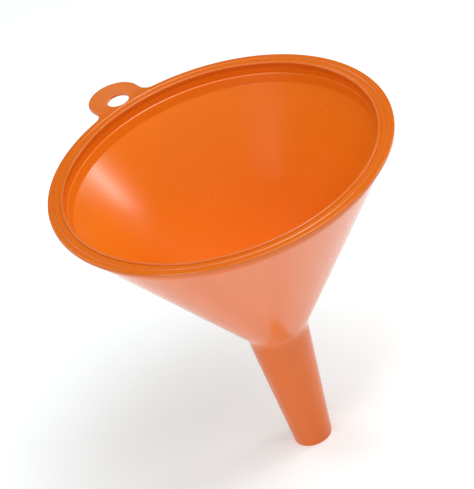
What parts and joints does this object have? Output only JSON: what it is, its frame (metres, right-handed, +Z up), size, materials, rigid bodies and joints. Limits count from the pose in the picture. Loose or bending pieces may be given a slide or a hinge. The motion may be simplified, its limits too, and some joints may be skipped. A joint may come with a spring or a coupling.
{
  "type": "funnel",
  "caption": "Wide conical pouring funnel with a flat flanged and beaded rim, a tapered straight-cut spout and a hanging tab with a round hole.",
  "frame": {"origin": "on the funnel's axis, in the plane of the spout's straight-cut outlet", "axes": "+Z up the axis from the outlet to the mouth, +Y from the axis towards the hanging tab, +X to the right"},
  "size_m": [0.15, 0.1684, 0.1575],
  "materials": {
    "funnel_plastic": "semi-gloss moulded polyethylene, orange"
  },
  "bodies": {
    "root": {"rim_bead": "funnel_plastic", "rim_flange": "funnel_plastic", "hanging_tab": "funnel_plastic", "collar": "funnel_plastic", "bowl": "funnel_plastic", "throat": "funnel_plastic", "spout": "funnel_plastic"}
  },
  "joints": []
}
